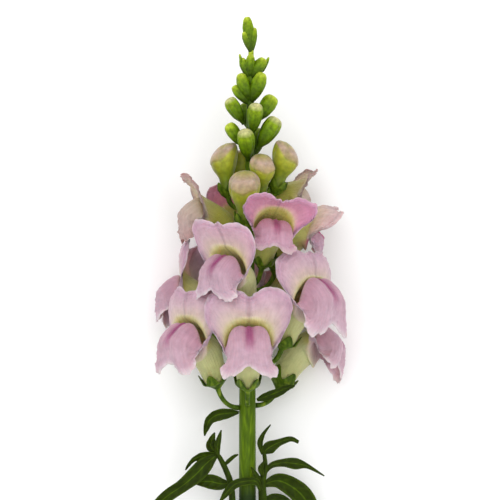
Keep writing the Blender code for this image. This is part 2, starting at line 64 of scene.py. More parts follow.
# Colour: a screen colour such as #c8a0b4 as the linear colour that a shader takes
def linear(hexColour):
    screen = np.array([int(hexColour[k:k + 2], 16) for k in (1, 3, 5)]) / 255
    return (*np.where(screen <= 0.04045, screen / 12.92, ((screen + 0.055) / 1.055) ** 2.4), 1.0)


# Smooth step: 0 below low, 1 above high, an S curve between
def ease(low, high, value):
    share = np.clip((value - low) / (high - low), 0, 1)
    return share * share * (3 - 2 * share)


# Turns the plant about x by the tilt and moves it to its place; gives metres
def layDown(points):
    tilt = math.radians(lying["tilt"])
    x, y, z = np.moveaxis(np.asarray(points, float), -1, 0)
    cos, sin = math.cos(tilt), math.sin(tilt)
    return (np.stack([x, y * cos - z * sin, y * sin + z * cos], -1) + np.array(lying["shift"])) * mm


# Lifts points that would lie lower than least above the surface, straight up from it, in the plant's frame
def liftOffFloor(points, least):
    up = np.array((0, math.sin(math.radians(lying["tilt"])), math.cos(math.radians(lying["tilt"]))))
    lift = np.maximum(least - points @ up - lying["shift"][2], 0)
    return points + lift[..., None] * up


# Smooth curve through points: each column of points is followed to its own places along the rows, and between
# two points the curve is the cubic whose slope at each is half the step from the one before to the one after
def through(points, places, closed=False):
    count, across = len(points), np.arange(points.shape[1])
    first = np.floor(places).astype(int)
    if not closed:
        first = np.clip(first, 0, count - 2)
        points = np.concatenate([2 * points[:1] - points[1:2], points, 2 * points[-1:] - points[-2:-1]])
        a, b, c, d = [points[first + k, across] for k in range(4)]
    else:
        a, b, c, d = [points[(first + k) % count, across] for k in (-1, 0, 1, 2)]
    t = (places - first)[..., None]
    return b + 0.5 * t * (c - a + t * (2 * a - 5 * b + 4 * c - d + t * (3 * b - a - 3 * c + d)))


# Directions square to a grid of points, from the slopes along its rows and its columns
def normalsOf(grid, closed=True):
    along = np.gradient(grid, axis=0)
    if closed:
        around = (np.roll(grid, -1, 1) - np.roll(grid, 1, 1)) / 2
    else:
        around = np.gradient(grid, axis=1)
    normal = np.cross(along, around)
    return normal / np.maximum(np.linalg.norm(normal, axis=-1, keepdims=True), 1e-9)


# Gives a grid of points a wall: out along one side, back along the other, as one closed tube of rows
def walled(grid, thickness):
    normal = normalsOf(grid)
    half = thickness[..., None] / 2
    return np.concatenate([grid + normal * half, (grid - normal * half)[::-1]])


# Draws a piece in evenly from its middle towards any side on which it reaches past the solid model's box
def heldInside(points):
    middle = points.mean(0)
    for side, wall in zip((-1, 1), np.array(cadBox)):
        out = side * (points - middle)
        share = np.minimum(1, side * (wall - middle) / out.max(0))
        points = middle + (points - middle) * np.where(out > 0, share, 1)
    return points


# One object from closed tubes of points, each rows by columns, capped at both ends; surfaceMap keeps for every
# point its place along and around the surface, which the materials read
def tubesObject(name, tubes, look, node):
    places, maps, faces, start = [], [], [], 0
    for grid, surfaceMap in tubes:
        rows, columns = grid.shape[:2]
        index = np.arange(rows * columns).reshape(rows, columns) + start
        beside = np.roll(index, -1, axis=1)
        faces += np.stack([index[:-1], beside[:-1], beside[1:], index[1:]], -1).reshape(-1, 4).tolist()
        faces += [index[0, ::-1].tolist(), index[-1].tolist()]
        places.append(layDown(grid).reshape(-1, 3))
        maps.append(np.broadcast_to(surfaceMap, grid.shape).reshape(-1, 3))
        start += rows * columns
    mesh = bpy.data.meshes.new(name)
    mesh.from_pydata(heldInside(np.concatenate(places)).tolist(), [], faces)
    kept = mesh.attributes.new("surfaceMap", "FLOAT_VECTOR", "POINT")
    kept.data.foreach_set("vector", np.concatenate(maps).astype(np.float32).ravel())
    work = bmesh.new()
    work.from_mesh(mesh)
    bmesh.ops.recalc_face_normals(work, faces=work.faces)
    work.to_mesh(mesh)
    work.free()
    mesh.shade_smooth()
    mesh.materials.append(look)
    piece = bpy.data.objects.new(name, mesh)
    scene.collection.objects.link(piece)
    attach(piece, "root")
    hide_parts(node)


# Adds one node: sockets gives each input its value or the output that feeds it, stops are a ramp's colours
def addNode(tree, kind, sockets=None, stops=None, **settings):
    node = tree.nodes.new("ShaderNode" + kind)
    for key, value in settings.items():
        setattr(node, key, value)
    if stops:
        ramp = node.color_ramp.elements
        while len(ramp) < len(stops):
            ramp.new(1.0)
        for stop, (place, colour) in zip(ramp, stops):
            stop.position = place
            stop.color = linear(colour)
    for key, value in (sockets or {}).items():
        if isinstance(value, bpy.types.NodeSocket):
            tree.links.new(value, node.inputs[key])
        else:
            node.inputs[key].default_value = value
    return node


# A material with its shader's uniform values set; the rest is added by each finish
def newFinish(name, roughness, **uniform):
    finish = bpy.data.materials.new(name)
    finish.use_nodes = True
    tree = finish.node_tree
    shader = tree.nodes["Principled BSDF"]
    shader.inputs["Roughness"].default_value = roughness
    for key, value in uniform.items():
        shader.inputs[key].default_value = value
    return finish, tree, shader


# Mottles a colour with noise between a darkest and a palest share of it, and stands the skin up in low relief by
# the same noise; shade is another share to multiply by, and height another relief to add
def mottleSkin(tree, shader, colour, scale, shares, strength, depth, shade=None, height=None):
    place = addNode(tree, "TexCoord")
    mottle = addNode(tree, "TexNoise", {"Vector": place.outputs["Object"], "Scale": scale, "Detail": 5.0})
    share = addNode(tree, "MapRange", {"Value": mottle.outputs[0], "From Min": 0.3, "From Max": 0.7,
                                       "To Min": shares[0], "To Max": shares[1]})
    raised = mottle
    if shade:
        share = addNode(tree, "Math", {0: share.outputs[0], 1: shade.outputs[0]}, operation="MULTIPLY")
    if height:
        raised = addNode(tree, "Math", {0: height.outputs[0], 1: mottle.outputs[0]}, operation="ADD")
    toned = addNode(tree, "VectorMath", {0: colour, "Scale": share.outputs[0]}, operation="SCALE")
    tree.links.new(toned.outputs[0], shader.inputs["Base Color"])
    relief = addNode(tree, "Bump", {"Height": raised.outputs[0], "Strength": strength, "Distance": depth})
    tree.links.new(relief.outputs[0], shader.inputs["Normal"])


# Matrix from a flower's own frame (x outwards, y to its right, z up the stem) to the plant's
def faceFrame(seat, facing, pitch, roll):
    turn = math.radians(facing)
    outward = Vector((math.sin(turn), 0, math.cos(turn)))
    up = Vector((0, 1, 0))
    basis = Matrix((outward, up.cross(outward), up)).transposed().to_4x4()
    tilt = Matrix.Rotation(math.radians(-pitch), 4, "Y") @ Matrix.Rotation(math.radians(roll), 4, "X")
    return np.array(Matrix.Translation(seat) @ basis @ tilt)


# Points of a flower's own frame in the plant's frame: each turned, then moved
def placed(points, matrix):
    return points @ matrix[:3, :3].T + matrix[:3, 3]


# Ellipse square to an axis in the flower's xz plane: half heights above and below it, and half width
def ellipse(section, turns):
    x, z, angle, up, down, side = section
    tilt = np.radians(angle)
    height = np.where(np.cos(turns) > 0, up, down) * np.cos(turns)
    return np.stack([x - height * np.sin(tilt), side * np.sin(turns), z + height * np.cos(tilt)], -1)


openFlower = {
    # tube: centre x and z, angle above the horizontal, half height above and below, half width
    "tube": [(0.2, 0.4, 70, 1.2, 1.2, 1.2), (0.8, 3, 65, 4.3, 5.3, 4.3), (3.8, 10, 60, 6.2, 6.4, 5.9),
             (8.8, 16.8, 54, 7.6, 6.6, 7.8)],
    "turns": [0, 17, 34, 52, 72, 92, 110, 128, 146, 163, 180],
    # right half of the lips, from the upper midline to the lower one, each from the mouth of the tube to the rim
    "lips": [
        [(17.5, 0, 30.5), (19.3, 0, 34), (19.8, 0, 37.5), (19.6, 0, 40), (19.2, 0, 41.5)],
        [(17.3, 3, 30.2), (19.3, 3.4, 34.5), (19.6, 4.2, 39), (18.6, 4.2, 43), (17, 3.0, 45.3)],
        [(16.8, 6, 28.8), (18.7, 8, 34), (18.4, 9.8, 40), (16.5, 10.4, 45), (13.5, 10, 48)],
        [(16, 8.6, 26), (17.3, 12, 31), (16.4, 15.4, 36.5), (14, 17.8, 41), (10.8, 18.8, 44.5)],
        [(15, 10, 22.5), (15.8, 12.6, 26), (15.2, 16, 29.5), (13.6, 18.6, 32), (11.4, 20.2, 33.5)],
        [(14.2, 10.2, 19), (15, 11, 19.4), (15.8, 11.5, 19.8), (16.6, 11.9, 20.1), (17.4, 12.3, 20.4)],
        [(14.2, 9.3, 15.8), (18.2, 9.8, 20.2), (21.4, 9.6, 17.0), (20.8, 9.2, 15.2), (20.4, 9.8, 14.0)],
        [(14.6, 7.4, 13.6), (18.6, 8.6, 24.6), (25.4, 9.0, 20.2), (25.4, 9.6, 13.2), (23.4, 13.2, 9.4)],
        [(15, 5, 12.6), (18.8, 6.6, 27.6), (27.8, 6.8, 22.0), (28.4, 8.0, 13.0), (26.0, 11.2, 5.8)],
        [(15.2, 2.5, 12.2), (18.8, 3.4, 28.6), (28.8, 3.5, 22.4), (29.2, 4.2, 14.0), (27.4, 6.2, 7.0)],
        [(15.3, 0, 12), (18.2, 0, 27.2), (27.8, 0, 21.8), (28.6, 0, 15.2), (27.8, 0, 10.8)],
    ],
    "rows": 84, "columns": 120,
    "thickness": (0.6, 0.28),  # mm at the foot of the tube and at the rim
    "floorGap": 0.33,  # mm from the surface to the middle of the wall
    "waist": 0.3,  # mm that the tube is drawn in by where it stands in its calyx, so that the two stay apart
    # the rim stops short of the last ring, and is nibbled by sines round the flower: count, phase and height
    "rim": 7.88, "nibble": 0.08, "nibbles": [(17, 2, 0.6), (29, 0, 0.5)],
    "waves": [(6, 1, 1), (10, 1.7, 0.7), (17, 1, 0.45)],  # of the lips: count, phase and height
    "waveHeight": 0.6,  # mm for each mm of ruffle
    "pucker": 0.22, "puckers": [(1, 9), (1.7, 16), (2.6, 27), (3.9, 41)],  # mm deep; counts along and around
    "groove": (1.5, 0.4),  # down the palate: mm deep, and half its width in guide lines
    "crease": (0.3, 1.3, 0.35),  # down the upper lip: least mm deep, more for a full cleft, and half its width
}

# name: seat of the tube, facing (0 to the camera, 90 right), pitch, roll, size, lean of the upper lip,
# sizes of the upper and lower lips, depth of the cleft, drop to the foot of the stalk, ruffle of the rims in mm,
# finish
flowers = {
    "front_low": ((0, 112, 12.6), 2, 0, 0, 1.0, 4, 0.9, 1.0, 0.8, 7, 0.6, "open"),
    "right_low": ((14.0, 112.4, -5.0), 78, 0, -23, 0.98, 0, 0.6, 1.0, 0.5, 8, 0.6, "open"),
    "left_low": ((-13.5, 113.0, 3.4), -50, 0, 0, 1.0, 0, 0.83, 1.0, 0.35, 9.5, 0.65, "open"),
    "right_mid": ((15.4, 130.6, 2.8), 49, 0, -3, 1.0, -7, 0.8, 1.15, 0.15, 9, 0.55, "open"),
    "left_mid": ((0.4, 146.0, 11.6), -42, 0, -5, 0.96, 40, 0.87, 0.92, 0.15, 8, 0.65, "open"),
    "front_high": ((6.4, 167.0, 9.0), 12, 0, -8, 0.86, 74, 0.9, 0.75, 0.5, 8, 0.75, "fresh"),
    "right_high": ((12.4, 164.4, -7.2), 95, 0, 8, 0.9, 90, 0.85, 0.6, 0.5, 8, 0.95, "pale"),
    "left_high": ((-6.0, 173.4, 2.4), -85, 0, 0, 0.84, 48, 0.9, 1.0, 0.5, 8, 1.2, "young"),
    "right_top": ((7.0, 191.0, -7.1), 106, -20, 0, 0.68, 36, 0.65, 0.8, 0.5, 7, 1.05, "young"),
    "left_side_low": ((-13.3, 134.4, -8.7), -105, 0, 12, 0.98, 0, 0.86, 1.0, 0.5, 8, 0.7, "open"),
    "back_left": ((-4, 137.4, -11.6), -179, 14, 0, 0.76, 0, 0.56, 0.82, 0.5, 8, 0.4, "open"),
    "back_right": ((11.0, 136.2, -10.4), 143, 14, 0, 0.74, 0, 0.42, 0.8, 0.5, 8, 0.4, "open"),
    "back_high": ((-4, 168, -7.5), -165, 14, 0, 0.78, 10, 0.8, 0.9, 0.5, 8, 0.4, "fresh"),
}


# Rings of guide points from the foot of the tube to the rims: ellipses for the tube, then the lips, scaled from
# their root row, the upper one swung out about its root by an angle that grows to the full lean at the rim
def guideRings(size, lean, upper, lower, cleft):
    tube = [ellipse(section, np.radians(openFlower["turns"])) for section in openFlower["tube"]]
    lips = np.array(openFlower["lips"], float).transpose(1, 0, 2)
    for column, share in ((0, 1 - cleft), (1, 0.5 - 0.5 * cleft)):
        lips[1:, column, ::2] += (lips[1:, 2, ::2] - lips[1:, column, ::2]) * share
    for part, scale in ((slice(0, 5), upper), (slice(6, 11), lower)):
        lips[1:, part] = lips[:1, part] + (lips[1:, part] - lips[:1, part]) * scale
    arm = lips[1:, :5] - lips[:1, :5]
    turn = np.radians(-lean) * np.minimum(1, (np.arange(4) + 1.5) / 4)[:, None]
    swung = np.stack([arm[..., 0] * np.cos(turn) - arm[..., 2] * np.sin(turn), arm[..., 1],
                      arm[..., 0] * np.sin(turn) + arm[..., 2] * np.cos(turn)], -1)
    lips[1:, :5] = lips[:1, :5] + swung
    half = np.concatenate([np.array(tube), lips])
    return np.concatenate([half, half[:, -2:0:-1] * (1, -1, 1)], axis=1) * size


# The petals of one flower: the smooth surface through the guide rings, moved along its normals by a groove down
# the palate and a crease down the upper lip (bell curves across them), by waves and puckers of the lips (sums of
# sines that grow towards the rim) and by a waist at the foot of the tube, then given its wall
def petalTubes(seed, seat, facing, pitch, roll, size, lean, upper, lower, cleft, ruffle):
    rings = guideRings(size, lean, upper, lower, cleft)
    lastRing, guideLines = len(rings) - 1, rings.shape[1]
    count = openFlower["columns"]
    u = np.arange(count) / count * guideLines
    around = 2 * math.pi * u / guideLines
    rings = through(rings.transpose(1, 0, 2), np.repeat(u[:, None], len(rings), 1), True).transpose(1, 0, 2)
    fold = np.minimum(u, guideLines - u)  # 0 on the upper midline, half the guide lines on the lower one
    nibble = np.abs(np.sin(7 * around + seed))
    nibble += sum(height * np.sin(n * around + phase * seed) for n, phase, height in openFlower["nibbles"])
    rim = openFlower["rim"] + openFlower["nibble"] * nibble * (0.5 + ruffle)
    row = np.linspace(0, 1, openFlower["rows"])[:, None] * rim
    grid = through(rings, row)
    normal = normalsOf(grid)
    waves = sum(height * np.sin(n * around + phase * seed) for n, phase, height in openFlower["waves"])
    relief = ruffle * ease(6.2, 8, row) * waves * openFlower["waveHeight"]
    puckers = sum(np.sin(k * 4.7 * row + m * around + seed * 1.3 + k * m)
                  * np.sin(k * 2.9 * row - (m + 5) * around + k) for k, m in openFlower["puckers"])
    relief = relief + openFlower["pucker"] * (0.4 + ruffle) * ease(4.4, 7.6, row) * puckers
    relief = relief - openFlower["waist"] * ease(0.1, 0.6, row) * (1 - ease(2, 3, row))
    deep, wide = openFlower["groove"]
    palate = ease(4.6, 5.1, row) * (1 - ease(6.0, 7.2, row))
    relief = relief - deep * size * palate * np.exp(-((fold - guideLines / 2) / wide) ** 2)
    least, more, wide = openFlower["crease"]
    relief = relief - (least + more * cleft) * size * ease(4.6, 6, row) * np.exp(-(fold / wide) ** 2)
    grid = placed(grid + normal * relief[..., None], faceFrame(seat, facing, pitch, roll))
    grid = liftOffFloor(grid, openFlower["floorGap"])
    thick, thin = openFlower["thickness"]
    walls = walled(grid, thick + (thin - thick) * ease(0, 7, row) + 0 * u)
    along = np.concatenate([row, row[::-1]]) / lastRing
    inner = np.concatenate([row * 0, row * 0 + 1])
    surfaceMap = np.stack([along, np.broadcast_to(fold / guideLines * 2, along.shape), inner + 0.1 * seed], -1)
    return [(walls, surfaceMap)]


# Petal finishes: a living petal is translucent and velvety, coloured in its skin, with veins that run from the
# tube to the rim. Upper and lower lips have a run of colours each, from the foot of the tube to the rim.
# groove is the colour of the line down the palate and spot how strongly it shows; crease is the share of colour
# left in the painted shade along the upper lip's crease
petalLooks = {
    "open": {
        "upper": [(0.0, "#818E37"), (0.2, "#B5B679"), (0.4, "#C9C78F"), (0.5, "#C6BE6C"), (0.54, "#CCC28C"),
                  (0.6, "#CFB8AB"), (0.72, "#CAA9B2"), (0.9, "#C69CB0"), (0.96, "#CEA8B9"), (1.0, "#E0C8D0")],
        "lower": [(0.0, "#818E37"), (0.22, "#B8B97B"), (0.45, "#C6C493"), (0.56, "#C3A1A6"), (0.66, "#B88C9E"),
                  (0.8, "#C09BAA"), (0.94, "#C8A5B4"), (1.0, "#E2D0D2")],
        "groove": "#8C2A68", "spot": 0.85, "crease": 0.72},
    "fresh": {
        "upper": [(0.0, "#7C8B28"), (0.2, "#A7A953"), (0.42, "#B5B366"), (0.49, "#C4C064"), (0.52, "#D2C690"),
                  (0.555, "#D7AAAB"), (0.62, "#CC95AB"), (0.8, "#C78DAB"), (0.93, "#CC94B3"), (1.0, "#D9ADC2")],
        "lower": [(0.0, "#7C8B29"), (0.22, "#AAAD57"), (0.45, "#BAB572"), (0.56, "#C39194"), (0.66, "#B88191"),
                  (0.8, "#C492A5"), (0.92, "#CD9DB0"), (1.0, "#DBBEBF")],
        "groove": "#8E2E62", "spot": 0.8, "crease": 0.8},
    "pale": {
        "upper": [(0.0, "#88922F"), (0.2, "#A6A74B"), (0.42, "#B4B266"), (0.5, "#B7B26D"), (0.58, "#CCBA9F"),
                  (0.7, "#D0B6AA"), (0.85, "#CDADAE"), (1.0, "#D4B3B4")],
        "lower": [(0.0, "#889230"), (0.2, "#A9A74E"), (0.42, "#BDB576"), (0.5, "#B98A78"), (0.545, "#A23A62"),
                  (0.6, "#B4688C"), (0.68, "#BD91A3"), (0.85, "#BE98AA"), (1.0, "#CDB4BB")],
        "groove": "#B02C6C", "spot": 0.95, "crease": 0.85},
    "young": {
        "upper": [(0.0, "#808B26"), (0.2, "#939331"), (0.42, "#A19E43"), (0.52, "#B0A370"), (0.62, "#BAAA86"),
                  (0.8, "#BFAA94"), (0.93, "#B89A94"), (1.0, "#B08885")],
        "lower": [(0.0, "#808B26"), (0.22, "#959634"), (0.45, "#ABA456"), (0.58, "#BBAA8A"), (0.7, "#BEA89A"),
                  (0.85, "#BC9F9A"), (1.0, "#B08C8A")],
        "groove": "#9A5068", "spot": 0.5, "crease": 0.85},
}


# The finish for one look: the two runs of colour meet at the sides of the mouth, under the markings and the shade
def petalFinish(name, look):
    finish, tree, shader = newFinish(name, 0.5, **{
        "IOR": 1.42, "Specular IOR Level": 0.35, "Subsurface Weight": 0.4, "Subsurface Scale": 0.002,
        "Subsurface Radius": (1.0, 0.55, 0.5), "Sheen Weight": 0.12, "Sheen Roughness": 0.5})
    kept = addNode(tree, "Attribute", attribute_name="surfaceMap")
    split = addNode(tree, "SeparateXYZ", {"Vector": kept.outputs["Vector"]})
    along, fold = split.outputs["X"], split.outputs["Y"]
    upper = addNode(tree, "ValToRGB", {"Fac": along}, look["upper"])
    lower = addNode(tree, "ValToRGB", {"Fac": along}, look["lower"])
    half = addNode(tree, "MapRange", {"Value": fold, "From Min": 0.47, "From Max": 0.6},
                   interpolation_type="SMOOTHSTEP")
    colour = addNode(tree, "Mix", {"Factor": half.outputs[0], 6: upper.outputs[0], 7: lower.outputs[0]},
                     data_type="RGBA")
    # the dark line down the middle of the palate, near its top
    beside = addNode(tree, "MapRange", {"Value": fold, "From Min": 0.91, "From Max": 0.975},
                     interpolation_type="SMOOTHSTEP")
    below = addNode(tree, "MapRange", {"Value": along, "From Min": 0.86, "From Max": 0.7},
                    interpolation_type="SMOOTHSTEP")
    above = addNode(tree, "MapRange", {"Value": along, "From Min": 0.57, "From Max": 0.61},
                    interpolation_type="SMOOTHSTEP")
    line = addNode(tree, "Math", {0: beside.outputs[0], 1: below.outputs[0]}, operation="MULTIPLY")
    line = addNode(tree, "Math", {0: line.outputs[0], 1: above.outputs[0]}, operation="MULTIPLY")
    line = addNode(tree, "Math", {0: line.outputs[0], 1: look["spot"]}, operation="MULTIPLY")
    colour = addNode(tree, "Mix", {"Factor": line.outputs[0], 6: colour.outputs[2], 7: linear(look["groove"])},
                     data_type="RGBA")
    # painted shade along the crease that parts the two lobes of the upper lip: the colour is darkened there
    crease = addNode(tree, "MapRange", {"Value": fold, "From Min": 0.0, "From Max": 0.04,
                                        "To Min": look["crease"], "To Max": 1.0})
    # veins 0.5 mm apart on the tube and 0.9 mm on the lips that run up the petal, from noise drawn out along it
    stretched = addNode(tree, "VectorMath", {0: kept.outputs["Vector"], 1: (7.0, 46.0, 3.0)},
                        operation="MULTIPLY")
    veins = addNode(tree, "TexNoise", {"Vector": stretched.outputs[0], "Scale": 1.0, "Detail": 3.0})
    veinShade = addNode(tree, "MapRange", {"Value": veins.outputs[0], "From Min": 0.35, "From Max": 0.65,
                                           "To Min": 0.94, "To Max": 1.04})
    # blotches 4.5 mm wide, where the skin is thicker or thinner
    place = addNode(tree, "TexCoord")
    blotch = addNode(tree, "TexNoise", {"Vector": place.outputs["Object"], "Scale": 220.0, "Detail": 5.0})
    blotchShade = addNode(tree, "MapRange", {"Value": blotch.outputs[0], "From Min": 0.3, "From Max": 0.7,
                                             "To Min": 0.88, "To Max": 1.08})
    shade = addNode(tree, "Math", {0: veinShade.outputs[0], 1: blotchShade.outputs[0]}, operation="MULTIPLY")
    shade = addNode(tree, "Math", {0: shade.outputs[0], 1: crease.outputs[0]}, operation="MULTIPLY")
    toned = addNode(tree, "VectorMath", {0: colour.outputs[2], "Scale": shade.outputs[0]}, operation="SCALE")
    tree.links.new(toned.outputs[0], shader.inputs["Base Color"])
    # the skin's velvety grain, 1.2 mm: drawn coarser than its real cells, so that it shows
    cells = addNode(tree, "TexNoise", {"Vector": place.outputs["Object"], "Scale": 800.0, "Detail": 4.0})
    height = addNode(tree, "Math", {0: veins.outputs[0], 1: cells.outputs[0]}, operation="ADD")
    relief = addNode(tree, "Bump", {"Height": height.outputs[0], "Strength": 0.8, "Distance": 0.0005})
    tree.links.new(relief.outputs[0], shader.inputs["Normal"])
    return finish


calyxCup = {
    "columns": 40, "stalkSteps": 12, "stalkRadius": 1.2,
    "seatGap": 0.3,  # mm between the stalk's foot and the stem
    "clearance": (0.85, 1.5),  # mm from the tube's sections to the inside and the outside of the cup
    "parting": 0.85,  # where the sepals part, as a place along the tube's sections
    "tips": (0.95, 1.72),  # the bottom of a cleft and the top of a tip, in the same places
    "furrow": 0.25, "lip": 0.25,  # mm, depth between two sepals, and how far their tips lean in
    "floorDrop": (0.3, 0, 0.8), "baseDrop": (0.3, 0, 0.9),  # mm back from the first ring to floor and foot
    "lead": 0.8, "bend": 0.4,  # mm of stalk straight below the foot, and arms of its curve as shares of its span
}
mainStem = {
    # x, y, z and radius up the stem
    "path": [(0, 0, 0, 4.1), (0, 62, 0, 3.9), (0, 112, 0, 3.75), (0.2, 150, 0, 3.1), (0.8, 190, 0, 2.4),
             (1.1, 222, 0, 1.9), (1.2, 238, 0.3, 1.6)],
    "cutSlope": 0.55, "cutReach": 12,  # rise of the cut across the stem, and mm up the stem that the rings lean
    "columns": 40, "rows": 160, "ribs": 0.06}


# x, z and radius of the main stem at a height, between the points of its path
def stemAt(height):
    path = np.array(mainStem["path"], float)
    return [np.interp(height, path[:, 1], path[:, k]) for k in (0, 2, 3)]


# Ring of the calyx round the flower's tube at a place along its sections, clear of it by a distance
def cupRing(sections, place, clearance, turns):
    table = np.array(sections, float)
    place = np.broadcast_to(np.asarray(place, float), turns.shape)
    x, z, angle, up, down, side = [np.interp(place, np.arange(len(table)), table[:, k]) for k in range(6)]
    return ellipse((x, z, angle, up + clearance, down + clearance, side + clearance), turns)


# Stalk and calyx: rings carried along a cubic curve from the stem, then the outside of the cup up to five pointed
# sepals (the rim follows a cosine with five crests), over the tips and down its inside to its floor
def calyxTubes(seat, facing, pitch, roll, size, drop, sections):
    matrix = faceFrame(seat, facing, pitch, roll)
    count = calyxCup["columns"]
    turns = np.arange(count) / count * 2 * math.pi
    crest = 0.5 + 0.5 * np.cos(5 * turns)
    low, high = calyxCup["tips"]
    tips = low + (high - low) * crest ** 0.8
    inner, outer = [c / size for c in calyxCup["clearance"]]
    parting, furrow = calyxCup["parting"], calyxCup["furrow"] * (1 - crest)
    cup = [(place, outer - furrow * ease(0.2, parting, place)) for place in (0.12, 0.3, 0.5, 0.7, parting)]
    cup += [(parting + (tips - parting) * step, outer - furrow * (1 - step) - 0.1 * step)
            for step in np.linspace(0.15, 1, 7)]
    cup += [(parting + (tips - parting) * step * 0.98, inner + calyxCup["lip"] * (step > 0.9))
            for step in np.linspace(1, 0.15, 5)]
    cup.append((parting, inner))
    rings = np.array([cupRing(sections, place, clear, turns) for place, clear in cup]) * size
    rings = placed(rings, matrix)
    floor = placed(cupRing(sections, 0, inner * 0.2, turns) * size, matrix)
    floor = floor - matrix[:3, :3] @ np.array(calyxCup["floorDrop"])
    tilt = math.radians(sections[0][2])
    axis = matrix[:3, :3] @ np.array((math.cos(tilt), 0, math.sin(tilt)))
    base = rings[0] - matrix[:3, :3] @ np.array(calyxCup["baseDrop"])
    x, z, radius = stemAt(seat[1] - drop)
    centre = np.array((x, seat[1] - drop, z))
    radial = np.array((seat[0] - x, 0, seat[2] - z))
    radial /= np.linalg.norm(radial)
    end = base.mean(0) - axis * calyxCup["lead"]
    foot = centre + radial * (radius + calyxCup["seatGap"])
    bend = np.linalg.norm(end - foot) * calyxCup["bend"]
    guide = [foot, foot + radial * bend, end - axis * bend, end]
    arms = base - base.mean(0)
    arms = arms - np.outer(arms @ axis, axis)
    arms /= np.linalg.norm(arms, axis=1, keepdims=True)
    stalk, heading = [], Vector(axis)
    for t in np.linspace(1, 0, calyxCup["stalkSteps"]):
        s = 1 - t
        spot = s ** 3 * guide[0] + 3 * s * s * t * guide[1] + 3 * s * t * t * guide[2] + t ** 3 * guide[3]
        way = Vector(3 * s * s * (guide[1] - guide[0]) + 6 * s * t * (guide[2] - guide[1])
                     + 3 * t * t * (guide[3] - guide[2])).normalized()
        arms = arms @ np.array(heading.rotation_difference(way).to_matrix()).T
        heading = way
        girth = calyxCup["stalkRadius"] * (0.86 + 0.14 * abs(2 * t - 1) ** 2)
        stalk.append(spot + arms * girth)
    grid = np.concatenate([np.array(stalk[::-1]), rings, floor[None]])
    along = np.linspace(0, 1, len(grid))[:, None] + 0 * turns
    onCup = np.concatenate([np.zeros(len(stalk)), np.clip([np.mean(p[0]) for p in cup], 0, 1.5), [0]])
    surfaceMap = np.stack([along, np.broadcast_to(crest, along.shape), onCup[:, None] + 0 * turns], -1)
    return [(grid, surfaceMap)]


# Green skin of stalks, calyxes and the stem: dull wax over cells in long rows, seen as darker and paler streaks
# along the plant, drawn coarser than the real rows (2 mm by 8 mm on a calyx, 1 mm by 25 mm on the stem)
greenLooks = {
    "calyx": {"dark": "#2A4006", "mid": "#47600A", "light": "#7C902A", "scale": (500, 120, 500)},
    "stem": {"dark": "#3C5400", "mid": "#4C6600", "light": "#64800A", "scale": (900, 40, 900)},
}


# The streaks are noise on object coordinates, drawn out along y; they colour the skin and raise it a little
def greenFinish(name, look, paintedShadeFoot=False):
    finish, tree, shader = newFinish(name, 0.5, **{
        "IOR": 1.45, "Specular IOR Level": 0.15, "Subsurface Weight": 0.05, "Subsurface Scale": 0.001})
    place = addNode(tree, "TexCoord")
    rowed = addNode(tree, "Mapping", {"Vector": place.outputs["Object"], "Scale": look["scale"]})
    streak = addNode(tree, "TexNoise", {"Vector": rowed.outputs[0], "Scale": 1.0, "Detail": 4.0})
    colour = addNode(tree, "ValToRGB", {"Fac": streak.outputs[0]},
                     [(0.3, look["dark"]), (0.5, look["mid"]), (0.72, look["light"])])
    out = colour.outputs[0]
    if paintedShadeFoot:  # painted shade: the lowest 60 mm of the stem are darkened, where the leaves round its foot shade it
        apart = addNode(tree, "SeparateXYZ", {"Vector": place.outputs["Object"]})
        foot = addNode(tree, "MapRange", {"Value": apart.outputs["Y"], "From Min": -0.078, "From Max": -0.066},
                       interpolation_type="SMOOTHSTEP")
        mix = addNode(tree, "Mix", {"Factor": foot.outputs[0], 6: linear("#1C2E08"), 7: out}, data_type="RGBA")
        out = mix.outputs[2]
    tree.links.new(out, shader.inputs["Base Color"])
    relief = addNode(tree, "Bump", {"Height": streak.outputs[0], "Strength": 0.4, "Distance": 0.0003})
    tree.links.new(relief.outputs[0], shader.inputs["Normal"])
    return finish


fullBud = {
    "sections": [(0.0, 0.4, 82, 1.2, 1.2, 1.2), (0.0, 3.0, 84, 3.2, 3.2, 3.1), (0.3, 8.6, 80, 3.6, 3.8, 3.8),
                 (0.6, 13.2, 76, 5.2, 6.2, 6.0), (0.8, 17.6, 72, 6.4, 7.8, 7.2), (0.6, 21.0, 72, 5.9, 6.9, 6.4),
                 (0.2, 23.4, 74, 4.2, 4.6, 4.4), (0.0, 24.6, 76, 1.6, 1.8, 1.8)],
    "rows": 56, "columns": 64,
    "mouth": (4.25, 0.45, 0.16),  # the mouth line: its mean place along the sections, its slant and its waves
    # shares of the bud's width: pinched in at the mouth line, beside it and down the hood, and all over
    "seam": 0.04, "cheek": 0.07, "midline": 0.035, "slimmer": 0.05,
    "hood": 0.025,  # and fuller on the hood
}
fullBuds = {
    "left": ((-9.0, 198.9, 1.0), -88, -1, 0, 0.97, 6),
    "right": ((12.4, 200.2, 0.3), 82, -12, 0, 0.96, 5),
    "front_right": ((6.0, 197.0, 6.2), 22, -4, 0, 0.84, 6),
    "front_left": ((-1.2, 184.6, 13.4), -6, -2, 0, 1.03, 8),
    "back": ((-2.5, 197.0, -8.0), 192, -6, 0, 0.92, 7),
}


